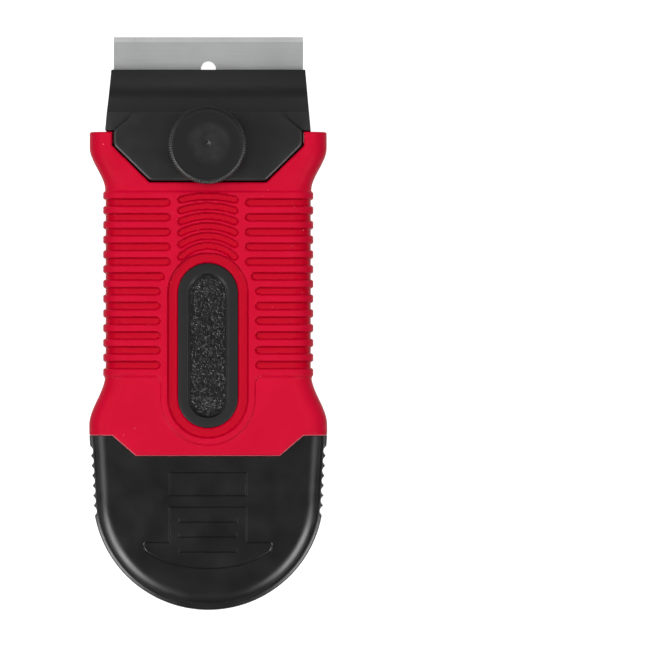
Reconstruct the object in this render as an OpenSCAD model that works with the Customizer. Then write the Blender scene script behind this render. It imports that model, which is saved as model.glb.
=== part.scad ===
// Razor blade scraper: a flat palm scraper for single-edge razor blades.
// Two moulded core halves carry a soft grip. A jaw that the knob pulls down clamps the
// blade, and the tail cap pulls off a tray with five spare blades.
// Lengths are in millimetres. +X is right, +Y points out past the blade's edge and +Z is
// the knob's side. The back lies on z = 0, and the length is centred on y = 0.

/* [Handle] */
// Length from the tail cap's horns to the ends of the grip's horns
grip_len = 60.9; // [60.4:0.1:66]
// Length of the jaws in front of the grip's horns
head_len = 12.6; // [12.2:0.1:15]
// Width of each horn of the grip, beside the pad
horn_wall = 4.6; // [4:0.1:5.4]
// How far each side draws in from the horns to the waist
waist_in = 3.1; // [2.4:0.1:3.4]
// How far each side of the tail cap stands out past the horns
cap_swell = 0.1; // [0:0.05:0.8]
// Thickness of the soft grip over the sides of the core
skin_side = 2; // [1.8:0.1:2.2]
// Thickness of the soft grip over the faces of the core
skin_face = 1.6; // [1.4:0.1:1.8]
// Rounding of the grip's long edges
edge_r = 4; // [3:0.1:4.2]

/* [Grip pattern] */
// How far the ribbed zone stands above the plain grip
rib_rise = 0.4; // [0.2:0.1:0.8]
// Distance from one side rib to the next
rib_pitch = 2.96; // [2.7:0.02:3]
// Width of a groove between two side ribs
groove_w = 1.4; // [1:0.1:1.8]
// Depth of the grooves below the plain grip
groove_depth = 0.5; // [0.3:0.05:0.6]
// Width of the capsule badge
badge_w = 12; // [11:0.1:12.6]

/* [Blade] */
// Length of the blade's cutting edge
blade_len = 38.1; // [32:0.1:46]
// Width of a blade, from its edge to the back of its spine
blade_w = 19.3; // [18:0.1:21]
// Thickness of the blade steel
blade_t = 0.24; // [0.2:0.01:0.28]
// How far the blade stands out of the jaws
blade_out = 6.6; // [6:0.1:7]
// How far the folded spine stands out past each end of the blade
spine_over = 0.5; // [0.2:0.05:0.6]
// Width of the folded spine
spine_w = 6.9; // [6.5:0.1:7.2]
// Thickness of the folded spine
spine_t = 1.1; // [1:0.05:1.2]

/* [Jaws] */
// How far each side of the jaws' front stands out past the blade
jaw_side = 0.45; // [0.2:0.05:0.8]
// Wall of the jaws beside the blade's pocket, where they meet the horns
jaw_wall = 0.9; // [0.8:0.05:1.3]
// Thickness of each jaw at its front edge
jaw_lip = 1.15; // [0.9:0.05:1.5]
// How far each side of the raised pad lies inside the jaws' back
pad_side = 1.7; // [1.4:0.1:2.2]
// How far the pad stands above the handle
pad_rise = 0.8; // [0.5:0.1:1.2]

/* [Clamp] */
// Diameter of the clamp screw
screw_d = 4; // [3.8:0.1:4.2]
// Width of the nut and of the screw's head across their flats
nut_af = 7; // [6.8:0.1:7.4]
// Thickness of the nut
nut_t = 3.2; // [2.8:0.1:3.4]
// Diameter of the washer
washer_d = 9; // [8.6:0.1:10]
// Diameter of the knob over its teeth
knob_d = 15.7; // [15:0.1:17]
// Height of the knob
knob_h = 6; // [5:0.1:8]
// Number of teeth round the knob
knob_teeth = 96; // [60:2:110]

/* [Tail cap] */
// Thickness of the cap's front and back walls
cap_wall = 1.6; // [1.4:0.1:1.7]
// Thickness of the cap's side walls, inside the belt
side_wall = 1.2; // [1:0.1:1.4]
// Room between the roof over the spare blades and the cap's front wall
roof_room = 2.2; // [1.8:0.1:3.6]
// Number of finger notches on each side
notch_count = 7; // [4:1:8]
// Distance from one finger notch to the next
notch_pitch = 2; // [1.8:0.05:2.1]
// Depth of the finger notches
notch_depth = 0.5; // [0.3:0.05:0.6]

/* [Hidden] */
spare_count = 5;

// Clearances: between moulded parts that touch, between parts that slide or lift,
// between rotating parts, and round the red edges that the eye sees
fit_gap = 0.05;
slide_gap = 0.2;
run_gap = 0.05;
edge_gap = 0.3;
// Overrun of every cut
over = 1;
// Thickness of the thin layer that ends a hull
slice_t = 0.01;

// Widths, from the blade outwards
spine_len = blade_len + 2 * spine_over;
pocket_side = 0.15;
pocket_w = spine_len + 2 * pocket_side;
jaw_front_w = blade_len + 2 * jaw_side;
jaw_back_w = pocket_w + 2 * jaw_wall;
pad_w = jaw_back_w - 2 * pad_side;
horn_w = pad_w + 2 * (edge_gap + horn_wall);
waist_w = horn_w - 2 * waist_in;
cap_w = horn_w + 2 * cap_swell;
bay_gap = 0.25;
bay_w = spine_len + 2 * bay_gap;

// The cap's sides and its round end, which clears the corners of the spare blades
cap_taper = 0.7;
cap_r = cap_w / 2 - cap_taper;
belt_out = 0.7;
cap_side = belt_out + side_wall;
corner_gap = 0.23;
spare_len = blade_w + 2 * bay_gap;
cap_end_run = sqrt(pow(cap_r - cap_side, 2) - pow(spine_len / 2 + corner_gap, 2));
tail_len = spare_len + cap_r - cap_end_run;

// Heights, from the cap's back wall up through the tray and its stack of spare blades
tray_t = 1.2;
tray_lift = 0.3;
tray_z0 = cap_wall + tray_lift;
tray_z1 = tray_z0 + tray_t;
spare_pitch = spine_t + fit_gap;
spare_z = tray_z1 + fit_gap + spine_t / 2;
bay_top = tray_z1 + spare_count * spare_pitch + 3 * fit_gap;
handle_t = bay_top + tray_t + roof_room + cap_wall;

// Places along the length, from the tail to the edge
overall_len = tail_len + grip_len + head_len + blade_out;
tail_end = -overall_len / 2;
cap_front = tail_end + tail_len;
horn_top = cap_front + grip_len;
jaw_front = horn_top + head_len;
blade_edge = jaw_front + blade_out;
blade_back = blade_edge - blade_w;

// The grip's sides: straight at the waist, swelling towards the horns and the tail
shoulder_len = 3.1;
shoulder_run = 8.6;
flare_len = 2.1;
flare_run = 10.1;
shoulder_y = horn_top - shoulder_len;
waist_y = shoulder_y - shoulder_run;
flare_end = cap_front + flare_len;
flare_y = flare_end + flare_run;
curve_steps = 5;

// The line where the grip and the cap meet: flat in the middle, with horns at the sides
line_drop = 4.1;
line_horn = 4.75;
line_run = 4.75;
line_horn_w = cap_w - 2 * line_horn;
line_flat_w = line_horn_w - 2 * line_run;

// The core and the halves' split
core_hw_inset = skin_side + fit_gap;
core_z0 = skin_face + fit_gap;
core_z1 = handle_t - skin_face - fit_gap;
split_z = handle_t / 2;
core_end = horn_top - skin_side;
rib_wall = 1.8;
pocket_rows = 3;
web_w = 5;
pin_r = 1.2;
pin_h = 2;

// The pad under the knob, an octagon with unequal corners
screw_gap = 0.7;
screw_r = screw_d / 2;
knob_y = blade_back - screw_r - screw_gap;
facet_len = 8.6;
pad_front = jaw_front - facet_len;
pad_front_cut = 4.3;
pad_front_rise = 3.7;
pad_front_w = pad_w - 2 * pad_front_cut;
pad_behind = 7.05;
pad_rear = knob_y - pad_behind;
pad_rear_cut = 7.3;
pad_rear_rise = 7.15;
pad_rear_w = pad_w - 2 * pad_rear_cut;
pad_bevel = 0.5;
pad_top = handle_t + pad_rise;
back_pad_z = 0.4;
back_step = 0.6;

// The jaws' facets, and the pocket between them that holds the spine
jaw_seam = 0.25;
jaw_back = horn_top + jaw_seam;
facet_front = 4.7;
facet_drop = 3.8;
pocket_gap = 0.1;
pocket_h = spine_t + 2 * pocket_gap;
pocket_y = blade_back - pocket_side;
jaw_gap = slide_gap;
peg_r = 1.5;
peg_h = 2.2;
peg_gap = 0.1;
peg_side = 5.9;
peg_x = pad_w / 2 - peg_side;
peg_back = 2.6;
peg_y = knob_y - peg_back;

// The clamp's stack, from the nut up to the knob
nut_z = 1;
screw_end = 1.2;
washer_t = 0.5;
washer_z = pad_top;
knob_z = washer_z + washer_t;
head_t = 2.8;
hole_r = screw_r + slide_gap;
tooth_depth = 0.3;
crown_step = 0.1;
knob_bevel = 0.5;
dish_r = 3.8;
dish_depth = 0.4;

// The grip's pattern
long_grooves = 5;
zone_gap = 0.3;
zone_land = 1.5;
zone_front = waist_y - zone_gap;
zone_back = flare_y - zone_gap;
first_groove_gap = 2.2;
first_groove = zone_front - first_groove_gap;
side_grooves = 1 + floor((first_groove - zone_back - zone_land) / rib_pitch);
groove_z = handle_t - groove_depth;
back_groove_depth = 0.9;
floor_inset = 0.1;
corner_steps = 5;
arc_count = 6;
arc_w = badge_w;
arc_groove = 1.33;
arc_first = zone_front - zone_gap;
arc_pitch = 1.98;
arc_r_first = 22;
arc_r_share = 0.82;
badge_r = badge_w / 2;
badge_from_zone = 20.3;
badge_from_cap = 7.55;
badge_front = zone_front - badge_from_zone;
badge_back = cap_front + badge_from_cap;
channel_w = 2;
bead_w = 1.45;
channel_r = badge_r + channel_w;
bead_r = channel_r + bead_w;
arc_land = 1.55;
groove_x = arc_w / 2 + arc_land;
groove_x_step = 1.2;
bead_land = 0.15;
groove_x_low = bead_r + bead_land;
badge_sink = 0.3;
badge_rim = 2.1;
badge_dish = 0.5;

// The tray and its blades behind the grip
tray_foot = 0.4;
bay_front = cap_front - bay_gap;
spare_edge = bay_front - bay_gap;
spare_back = spare_edge - blade_w;
tray_wall_len = 13.5;
thumb_w = 16;
thumb_len = 6;

// The tail cap's shell: a belt round the sides, beveled faces above and below it
cap_arc_y = tail_end + cap_r;
cap_front_over = 4;
belt_back = 3.4;
belt_below = 4.4;
belt_z1 = handle_t - belt_below;
side_inset = 2;
side_drop = 1.4;
side_z = handle_t - side_drop;
face_inset = 3.1;
back_bevel = 1.9;
cap_gap = 0.15;
cap_steps = 48;
cavity_bevel = 1;
first_notch = 3.1;
notch_r = 1.25;

// The marks on the cap: a bare frame, and an arrow with three bars
mark_depth = 0.3;
frame_w = 15.6;
frame_h = 4.6;
frame_below = 7.4;
frame_y = cap_front - frame_below - frame_h;
arrow_below = 2.3;
arrow_top = frame_y - arrow_below;
arrow_shaft = 7.2;
arrow_w = 26;
arrow_tip = 5.1;
bar_w = 11.7;
bar_h = 0.9;
bar_pitch = 3.05;
bar_count = 3;
line_w = 0.35;

// A blade: ground edge, key slot, side notches, and its folded spine
bevel_w = 1;
edge_t = 0.04;
key_w = 2.95;
key_h = 6.8;
key_back = 11;
side_notch_h = 3.2;
side_notch_depth = 3.7;
side_notch_back = 9.9;
side_notch_flare = 0.9;
fold_t = 0.4;
fold_gap = 0.03;
spine_round = 2;
dent_r = 1;
dent_depth = 0.2;
dent_side = 3.5;
dent_back = 4.2;

ink = "#2b2c2d";
red = "#d71e34";
steel = "#9b9ea1";
zinc = "#b9bbbc";

function ease(t) = t <= 0 ? 0 : t >= 1 ? 1 : t * t * (3 - 2 * t);
function steps(a, b, n) = [for (i = [0:n]) a + (b - a) * i / n];
function grip_hw(y) = waist_w / 2
    + (horn_w - waist_w) / 2 * ease((y - waist_y) / (shoulder_y - waist_y))
    + (cap_w - waist_w) / 2 * ease((flare_y - y) / (flare_y - flare_end));
function cap_hw(y) = cap_r + cap_taper * (y - cap_arc_y) / (cap_front - cap_arc_y);
function groove_y(k) = first_groove - k * rib_pitch;
function groove_end(k) = k < long_grooves ? groove_x
    : k == long_grooves ? groove_x + groove_x_step : groove_x_low;

swell_ys = concat(
    steps(flare_end, flare_y, curve_steps),
    steps(waist_y, shoulder_y, curve_steps)
);
sleeve_ys = concat([cap_front - line_drop - over], swell_ys, [horn_top]);
core_ys = concat([cap_front - line_drop - over], swell_ys, [core_end]);
zone_ys = [zone_back, flare_y, zone_front];

// Outline of the core in plan, drawn in by the skin's thickness
module core_plan() {
    polygon(concat(
        [for (y = core_ys) [grip_hw(y) - core_hw_inset, y]],
        [for (i = [1:len(core_ys)]) [
            core_hw_inset - grip_hw(core_ys[len(core_ys) - i]),
            core_ys[len(core_ys) - i]
        ]]
    ));
}

// Everything behind the line where the cap starts
module cap_side_plan() {
    polygon([
        [-overall_len, cap_front],
        [-line_horn_w / 2, cap_front],
        [-line_flat_w / 2, cap_front - line_drop],
        [line_flat_w / 2, cap_front - line_drop],
        [line_horn_w / 2, cap_front],
        [overall_len, cap_front],
        [overall_len, -overall_len],
        [-overall_len, -overall_len]
    ]);
}

module pad_plan() {
    polygon([
        [-pad_front_w / 2, pad_front],
        [pad_front_w / 2, pad_front],
        [pad_w / 2, pad_front - pad_front_rise],
        [pad_w / 2, pad_rear + pad_rear_rise],
        [pad_rear_w / 2, pad_rear],
        [-pad_rear_w / 2, pad_rear],
        [-pad_w / 2, pad_rear + pad_rear_rise],
        [-pad_w / 2, pad_front - pad_front_rise]
    ]);
}

// The window in the grip and the front core half that the pad stands in
module pad_window_plan() {
    offset(delta = edge_gap) pad_plan();
    translate([-pad_w / 2 - edge_gap, pad_rear + pad_rear_rise])
        square([pad_w + 2 * edge_gap, overall_len]);
}

module jaw_plan(back) {
    polygon([
        [-jaw_front_w / 2, jaw_front],
        [jaw_front_w / 2, jaw_front],
        [jaw_back_w / 2, back],
        [-jaw_back_w / 2, back]
    ]);
}

// An outline in y and z, swept across the whole width
module across(outline) {
    rotate([90, 0, 90])
        linear_extrude(height = overall_len, center = true) polygon(outline);
}

module capsule(r, y0, y1) {
    translate([0, y0]) circle(r, $fn = 48);
    translate([0, y1]) circle(r, $fn = 48);
    translate([-r, y0]) square([2 * r, y1 - y0]);
}

module hexagon(af) {
    circle(d = af / cos(30), $fn = 6);
}

// The blade pocket between the jaws, from z0 upwards
module pocket(z0, h) {
    translate([-pocket_w / 2, pocket_y, z0])
        cube([pocket_w, jaw_front - pocket_y + over, h]);
}

// The room for the spare blades' edges inside the core
module bay() {
    translate([-bay_w / 2, spare_back, tray_z1])
        cube([bay_w, bay_front - spare_back, bay_top - tray_z1]);
}

// The plan inside the cap that the tray keeps within
module tray_plan(inset) {
    cap_plan(cap_side + slide_gap + inset);
}

// Pockets that lighten a core half, on both sides of the middle web
module core_pockets(z0, h) {
    pocket_x = waist_w / 2 - core_hw_inset - rib_wall;
    row_len = (pad_rear - bay_front - rib_wall) / pocket_rows - rib_wall;
    for (side = [0, 1], row = [0:pocket_rows - 1])
        mirror([side, 0, 0])
            translate([web_w / 2, bay_front + rib_wall + row * (row_len + rib_wall), z0])
                cube([pocket_x - web_w / 2, row_len, h]);
}

// Places of the pins that line up the two core halves, on the middle web
function pin_ys() = steps(bay_front + 2 * rib_wall, pad_rear - 2 * rib_wall, 2);

module core_back() {
    color(ink) difference() {
        union() {
            translate([0, 0, core_z0]) linear_extrude(height = split_z - core_z0)
                difference() {
                    core_plan();
                    cap_side_plan();
                }
            // The lower jaw fills its place between the grip's horns, with no slit to see through
            translate([0, 0, back_pad_z])
                linear_extrude(height = split_z - back_pad_z)
                    offset(delta = edge_gap - fit_gap) pad_plan();
            intersection() {
                across([
                    [horn_top + fit_gap, back_pad_z + back_step],
                    [pad_front, back_pad_z + back_step],
                    [jaw_front - facet_front, facet_drop],
                    [jaw_front, split_z - pocket_h / 2 - jaw_lip],
                    [jaw_front, split_z],
                    [horn_top + fit_gap, split_z]
                ]);
                linear_extrude(height = handle_t) jaw_plan(horn_top + fit_gap);
            }
            tray();
            for (side = [-1, 1])
                translate([side * peg_x, peg_y, split_z - over])
                    cylinder(r = peg_r, h = peg_h + over, $fn = 48);
            for (y = pin_ys())
                translate([0, y, split_z - over])
                    cylinder(r = pin_r, h = pin_h + over, $fn = 48);
        }
        pocket(split_z - pocket_h / 2, pocket_h);
        bay();
        core_pockets(core_z0 + rib_wall, split_z);
        translate([0, knob_y, -over])
            linear_extrude(height = nut_z + nut_t + fit_gap + over)
                hexagon(nut_af + 2 * fit_gap);
        translate([0, knob_y, 0]) cylinder(r = hole_r, h = handle_t, $fn = 64);
    }
}

// The tray's floor and side walls, which reach back into the cap
module tray() {
    translate([0, 0, tray_z0]) linear_extrude(height = tray_t) intersection() {
        tray_plan(tray_t);
        translate([-overall_len / 2, spare_back])
            square([overall_len, cap_front - spare_back]);
    }
    for (side = [0, 1])
        mirror([side, 0, 0])
            translate([0, 0, tray_z1 - tray_foot])
                linear_extrude(height = bay_top + tray_t - tray_z1 + tray_foot)
                intersection() {
                    tray_plan(0);
                    translate([bay_w / 2, cap_front - tray_wall_len])
                        square([waist_w, tray_wall_len]);
                }
}

module core_front() {
    color(ink) difference() {
        union() {
            translate([0, 0, split_z]) linear_extrude(height = core_z1 - split_z)
                difference() {
                    core_plan();
                    cap_side_plan();
                    pad_window_plan();
                }
            translate([0, 0, bay_top]) linear_extrude(height = tray_t)
                difference() {
                    translate([-bay_w / 2 + slide_gap, cap_front - tray_wall_len])
                        square([bay_w - 2 * slide_gap, tray_wall_len - line_drop / 2]);
                    translate([-thumb_w / 2, cap_front - tray_wall_len - over])
                        square([thumb_w, thumb_len + over]);
                }
        }
        bay();
        core_pockets(split_z - over, core_z1 - rib_wall - split_z + over);
        for (y = pin_ys())
            translate([0, y, split_z - over])
                cylinder(r = pin_r + fit_gap, h = pin_h + fit_gap + over, $fn = 48);
    }
}

// One ring of points round the grip at y: a box with round corners, in x and z
function grip_ring(y, hw, z0, z1, r) = [
    for (corner = [[1, 1], [-1, 1], [-1, -1], [1, -1]], k = [0:corner_steps])
        let (
            turn = 90 * k / corner_steps,
            along = corner[0] * corner[1] > 0 ? turn : 90 - turn
        )
        [
            corner[0] * (hw - r + r * cos(along)),
            y,
            (z0 + z1) / 2 + corner[1] * ((z1 - z0) / 2 - r + r * sin(along))
        ]
];

// A closed body through rings of equal length, capped at both ends
module ring_body(rings) {
    n = len(rings[0]);
    last = n * (len(rings) - 1);
    polyhedron(
        points = [for (ring = rings) each ring],
        faces = concat(
            [[for (i = [0:n - 1]) n - 1 - i]],
            [[for (i = [0:n - 1]) last + i]],
            [for (j = [1:len(rings) - 1], i = [0:n - 1]) [
                (j - 1) * n + i,
                (j - 1) * n + (i + 1) % n,
                j * n + (i + 1) % n,
                j * n + i
            ]]
        )
    );
}

// A body lofted along the grip through the places in ys, grown sideways
module grip_loft(ys, grow, z0, z1, r) {
    ring_body([for (y = ys) grip_ring(y, grip_hw(y) + grow, z0, z1, r)]);
}

// One groove between two side ribs, open at the side and round at its inner end
module side_groove(k) {
    hull() {
        translate([groove_end(k) + groove_w / 2, groove_y(k)]) circle(d = groove_w, $fn = 16);
        translate([cap_w, groove_y(k)]) square(groove_w, center = true);
    }
}

// One arched groove above the badge; each lies lower and bends more than the last
module arc_groove_plan(k) {
    radius = arc_r_first * pow(arc_r_share, k);
    top = arc_first - k * arc_pitch;
    intersection() {
        translate([0, top - radius]) difference() {
            circle(radius, $fn = 96);
            circle(radius - arc_groove, $fn = 96);
        }
        translate([-arc_w / 2, top - radius]) square([arc_w, 2 * radius]);
    }
}

// The grooves, cut right through the outer body; the inner body gives them their floors
module grip_cuts() {
    cut_h = handle_t + rib_rise + over;
    for (side = [0, 1], k = [0:side_grooves - 1])
        mirror([side, 0, 0])
            translate([0, 0, -over]) linear_extrude(height = cut_h + over) side_groove(k);
    translate([0, 0, split_z]) linear_extrude(height = cut_h)
        for (k = [0:arc_count - 1]) arc_groove_plan(k);
    translate([0, 0, split_z]) linear_extrude(height = cut_h)
        capsule(channel_r, badge_back, badge_front);
}

module grip_sleeve() {
    color(red) difference() {
        union() {
            grip_loft(core_ys, -floor_inset, back_groove_depth, groove_z, edge_r - groove_depth);
            difference() {
                union() {
                    grip_loft(sleeve_ys, 0, 0, handle_t, edge_r);
                    grip_loft(zone_ys, rib_rise, 0, handle_t + rib_rise, edge_r);
                    translate([0, 0, split_z])
                        linear_extrude(height = split_z + rib_rise)
                            capsule(bead_r, badge_back, badge_front);
                }
                grip_cuts();
            }
        }
        translate([0, 0, core_z0 - fit_gap])
            linear_extrude(height = core_z1 - core_z0 + 2 * fit_gap)
                offset(delta = fit_gap) core_plan();
        translate([0, 0, -over]) linear_extrude(height = handle_t + rib_rise + 2 * over) {
            pad_window_plan();
            cap_side_plan();
        }
        translate([0, 0, -over]) linear_extrude(height = handle_t + rib_rise + 2 * over)
            capsule(badge_r, badge_back, badge_front);
    }
}

// A badge plate with a shallow dish in its face, at rest in its window
module badge(h) {
    difference() {
        linear_extrude(height = h)
            capsule(badge_r - fit_gap, badge_back, badge_front);
        translate([0, 0, h - badge_dish]) linear_extrude(height = h)
            capsule(badge_r - badge_rim, badge_back, badge_front);
    }
}

module front_badge() {
    color(ink) translate([0, 0, core_z1]) badge(handle_t - badge_sink - core_z1);
}

module back_badge() {
    color(ink) translate([0, 0, core_z0]) mirror([0, 0, 1]) badge(core_z0 - badge_sink);
}

module upper_jaw() {
    color(ink) difference() {
        union() {
            intersection() {
                across([
                    [jaw_back, split_z + jaw_gap],
                    [jaw_front, split_z + jaw_gap],
                    [jaw_front, split_z + pocket_h / 2 + jaw_lip],
                    [jaw_front - facet_front, handle_t - facet_drop],
                    [pad_front, handle_t],
                    [jaw_back, handle_t]
                ]);
                linear_extrude(height = handle_t + over) jaw_plan(jaw_back);
            }
            translate([0, 0, split_z + jaw_gap])
                linear_extrude(height = pad_top - pad_bevel - split_z - jaw_gap) pad_plan();
            hull() {
                translate([0, 0, pad_top - 2 * pad_bevel])
                    linear_extrude(height = pad_bevel) pad_plan();
                translate([0, 0, pad_top - slice_t])
                    linear_extrude(height = slice_t) offset(delta = -pad_bevel) pad_plan();
            }
        }
        pocket(split_z - over, pocket_h / 2 + over);
        for (side = [-1, 1])
            translate([side * peg_x, peg_y, split_z])
                cylinder(r = peg_r + peg_gap, h = peg_h + 2 * peg_gap, $fn = 48);
        translate([0, knob_y, 0]) cylinder(r = hole_r, h = pad_top + over, $fn = 64);
    }
}

// The knob: a toothed disc, a plain crown with a shallow dish, and a socket for the screw's head
module knob() {
    knob_r = knob_d / 2;
    crown_r = knob_r - tooth_depth - crown_step;
    color(ink) translate([0, knob_y, knob_z]) difference() {
        union() {
            linear_extrude(height = knob_h - knob_bevel) polygon([
                for (i = [0:2 * knob_teeth - 1])
                    (knob_r - (i % 2) * tooth_depth)
                        * [cos(i * 180 / knob_teeth), sin(i * 180 / knob_teeth)]
            ]);
            translate([0, 0, knob_h - knob_bevel])
                cylinder(r1 = crown_r, r2 = crown_r - knob_bevel, h = knob_bevel, $fn = 96);
        }
        translate([0, 0, knob_h - dish_depth])
            cylinder(r1 = dish_r - dish_depth, r2 = dish_r + over, h = dish_depth + over, $fn = 96);
        translate([0, 0, -over]) linear_extrude(height = head_t + fit_gap + over)
            hexagon(nut_af + 2 * fit_gap);
    }
}

module clamp_screw() {
    color(zinc) translate([0, knob_y, 0]) {
        translate([0, 0, knob_z]) linear_extrude(height = head_t) hexagon(nut_af);
        translate([0, 0, screw_end])
            cylinder(r = screw_r, h = knob_z - screw_end, $fn = 64);
    }
}

module knob_washer() {
    color(zinc) translate([0, knob_y, washer_z]) difference() {
        cylinder(d = washer_d, h = washer_t, $fn = 64);
        translate([0, 0, -over])
            cylinder(r = screw_r + run_gap, h = washer_t + 2 * over, $fn = 64);
    }
}

module jaw_nut() {
    color(zinc) translate([0, knob_y, nut_z]) difference() {
        linear_extrude(height = nut_t) hexagon(nut_af);
        translate([0, 0, -over])
            cylinder(r = screw_r + run_gap, h = nut_t + 2 * over, $fn = 64);
    }
}

// Outline of the cap in plan, drawn in by an inset: sides that close in, and a round end
function cap_points(inset) = concat(
    [[cap_hw(cap_front + cap_front_over) - inset, cap_front + cap_front_over]],
    [for (i = [0:cap_steps]) [
        (cap_r - inset) * cos(i * 180 / cap_steps),
        cap_arc_y - (cap_r - inset) * sin(i * 180 / cap_steps)
    ]],
    [[inset - cap_hw(cap_front + cap_front_over), cap_front + cap_front_over]]
);

module cap_plan(inset) {
    polygon(cap_points(inset));
}

// A closed body through plans of the cap, each given as its height and its inset
module cap_body(layers) {
    ring_body([
        for (layer = layers) [for (p = cap_points(layer[1])) [p[0], p[1], layer[0]]]
    ]);
}

module arrow_plan() {
    polygon([
        [-frame_w / 2, arrow_top],
        [frame_w / 2, arrow_top],
        [frame_w / 2, arrow_top - arrow_shaft],
        [arrow_w / 2, arrow_top - arrow_shaft],
        [0, arrow_top - arrow_shaft - arrow_tip],
        [-arrow_w / 2, arrow_top - arrow_shaft],
        [-frame_w / 2, arrow_top - arrow_shaft]
    ]);
}

// A thin line along the inside of an outline
module outlined() {
    difference() {
        children();
        offset(delta = -line_w) children();
    }
}

module cap_marks() {
    outlined() translate([-frame_w / 2, frame_y]) square([frame_w, frame_h]);
    outlined() arrow_plan();
    for (k = [1:bar_count])
        translate([-bar_w / 2, arrow_top - k * bar_pitch]) square([bar_w, bar_h]);
}

module tail_cap() {
    color(ink) difference() {
        union() {
            cap_body([
                [0, belt_out + back_bevel],
                [back_bevel, belt_out],
                [belt_z1, belt_out],
                [side_z, side_inset],
                [handle_t, face_inset]
            ]);
            translate([0, 0, belt_back])
                linear_extrude(height = belt_z1 - belt_back) cap_plan(0);
        }
        cap_body([
            [cap_wall, cap_side + cavity_bevel],
            [cap_wall + cavity_bevel, cap_side],
            [side_z - 2 * cavity_bevel, cap_side],
            [handle_t - cap_wall, cap_side + cap_wall]
        ]);
        for (side = [0, 1], k = [0:notch_count - 1])
            mirror([side, 0, 0]) finger_notch(cap_front - first_notch - k * notch_pitch);
        translate([0, 0, handle_t - mark_depth]) linear_extrude(height = over) cap_marks();
        translate([0, 0, -over]) linear_extrude(height = handle_t + 2 * over)
            difference() {
                translate([-overall_len, tail_end - over])
                    square([2 * overall_len, overall_len]);
                offset(delta = -cap_gap) cap_side_plan();
            }
    }
}

module finger_notch(y) {
    translate([cap_hw(y) - notch_depth + notch_r, y, -over])
        cylinder(r = notch_r, h = handle_t + 2 * over, $fn = 32);
}

// The blade's steel in plan, with its edge at y = 0
module blade_plan() {
    plate_back = -blade_w + fold_t + fold_gap;
    difference() {
        translate([-blade_len / 2, plate_back]) square([blade_len, -plate_back]);
        translate([0, key_back - blade_w]) {
            square([key_w, key_h - key_w], center = true);
            for (side = [-1, 1])
                translate([0, side * (key_h - key_w) / 2]) circle(d = key_w, $fn = 48);
        }
        for (side = [0, 1])
            mirror([side, 0]) side_notch();
    }
}

// The notch in one end of the blade: round inside, wider at its mouth
module side_notch() {
    notch_hw = side_notch_h / 2;
    translate([blade_len / 2, side_notch_back - blade_w]) {
        translate([notch_hw - side_notch_depth, 0]) {
            circle(notch_hw, $fn = 48);
            translate([0, -notch_hw]) square([blade_len, side_notch_h]);
        }
        polygon([
            [-side_notch_flare, -notch_hw],
            [0, -notch_hw - side_notch_flare],
            [over, -notch_hw - side_notch_flare],
            [over, notch_hw + side_notch_flare],
            [0, notch_hw + side_notch_flare],
            [-side_notch_flare, notch_hw]
        ]);
    }
}

// The steel of a blade whose edge is at y and whose middle is at z
module blade_steel(y, z) {
    color(steel) translate([0, y, z]) intersection() {
        translate([0, 0, -blade_t]) linear_extrude(height = 2 * blade_t) blade_plan();
        across([
            [-blade_w, -blade_t / 2],
            [-bevel_w, -blade_t / 2],
            [0, -edge_t / 2],
            [0, edge_t / 2],
            [-bevel_w, blade_t / 2],
            [-blade_w, blade_t / 2]
        ]);
    }
}

// The folded strip over the back of that blade
module spine(y, z) {
    slot_h = blade_t + 2 * fold_gap;
    color(zinc) translate([0, y - blade_w, z]) difference() {
        translate([0, 0, -spine_t / 2]) linear_extrude(height = spine_t) {
            translate([-spine_len / 2, spine_round])
                square([spine_len, spine_w - spine_round]);
            translate([spine_round - spine_len / 2, 0])
                square([spine_len - 2 * spine_round, spine_w]);
            for (side = [-1, 1])
                translate([side * (spine_len / 2 - spine_round), spine_round])
                    circle(spine_round, $fn = 48);
        }
        translate([-spine_len, fold_t, -slot_h / 2]) cube([2 * spine_len, spine_w, slot_h]);
        for (side = [-1, 1])
            translate([side * (blade_len / 2 - dent_side), dent_back, spine_t / 2 - dent_depth])
                cylinder(r = dent_r, h = over, $fn = 32);
    }
}

module blade() {
    blade_steel(blade_edge, split_z);
}

module blade_spine() {
    spine(blade_edge, split_z);
}

module spare_blade(i) {
    blade_steel(spare_edge, spare_z + (i - 1) * spare_pitch);
}

module spare_spine(i) {
    spine(spare_edge, spare_z + (i - 1) * spare_pitch);
}

core_back();
core_front();
grip_sleeve();
front_badge();
back_badge();
upper_jaw();
knob();
clamp_screw();
knob_washer();
jaw_nut();
tail_cap();
blade();
blade_spine();
for (i = [1:spare_count])
    spare_blade(i);
for (i = [1:spare_count])
    spare_spine(i);
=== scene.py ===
import bmesh
import bpy
import numpy as np
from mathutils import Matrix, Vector


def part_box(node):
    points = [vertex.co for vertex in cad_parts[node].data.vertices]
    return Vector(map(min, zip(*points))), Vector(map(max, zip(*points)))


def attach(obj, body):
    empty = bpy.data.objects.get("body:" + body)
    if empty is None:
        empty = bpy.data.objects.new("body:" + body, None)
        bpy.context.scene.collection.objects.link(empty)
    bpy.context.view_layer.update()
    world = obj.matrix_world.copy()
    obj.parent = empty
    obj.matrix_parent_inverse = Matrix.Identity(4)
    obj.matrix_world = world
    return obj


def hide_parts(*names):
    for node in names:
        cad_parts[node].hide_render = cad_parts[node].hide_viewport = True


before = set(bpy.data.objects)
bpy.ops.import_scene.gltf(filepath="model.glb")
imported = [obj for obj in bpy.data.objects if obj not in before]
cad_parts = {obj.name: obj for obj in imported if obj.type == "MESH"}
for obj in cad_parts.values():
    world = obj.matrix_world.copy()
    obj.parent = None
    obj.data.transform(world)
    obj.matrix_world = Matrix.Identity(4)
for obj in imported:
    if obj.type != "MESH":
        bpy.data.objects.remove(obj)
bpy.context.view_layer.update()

# Lengths below are in millimetres, as in the part's own frame: +Y runs out past the blade's
# edge and +Z up through the knob. Meshes and shader patterns are made from them in metres.
MM = 0.001


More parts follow.
